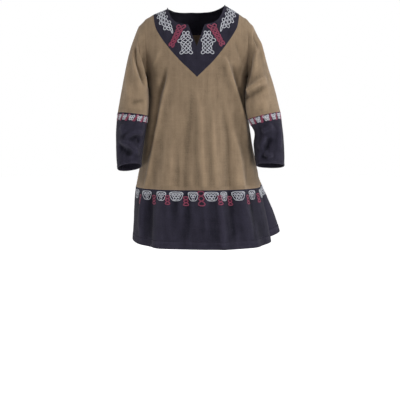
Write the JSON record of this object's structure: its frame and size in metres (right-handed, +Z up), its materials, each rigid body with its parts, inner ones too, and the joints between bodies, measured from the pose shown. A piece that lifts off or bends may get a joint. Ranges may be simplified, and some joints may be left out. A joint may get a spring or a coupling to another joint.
{
  "type": "medieval tunic",
  "caption": "Long-sleeved knee-length tunic with a dark V-shaped neck yoke, dark lower sleeves and a dark hem border, worn open and hollow.",
  "frame": {"origin": "midway between the two points where the neckline meets the shoulder line, at the height of the higher one", "axes": "+Z up, +X to the wearer's left, +Y to the wearer's back, so the front faces -Y"},
  "size_m": [0.6697, 0.3525, 0.9583],
  "materials": {
    "khaki_cloth": "plain-woven cotton, khaki brown, matt",
    "dark_cloth": "plain-woven cotton, dark aubergine grey, matt",
    "pale_thread": "satin-stitched embroidery thread, greyish white",
    "red_thread": "satin-stitched embroidery thread, crimson"
  },
  "bodies": {
    "root": {"front_panel": "khaki_cloth", "back_panel": "khaki_cloth", "neck_yoke": "dark_cloth", "hem_front": "dark_cloth", "hem_back": "dark_cloth", "sleeve_left_upper": "khaki_cloth", "sleeve_left_lower": "dark_cloth", "sleeve_right_upper": "khaki_cloth", "sleeve_right_lower": "dark_cloth"}
  },
  "joints": []
}
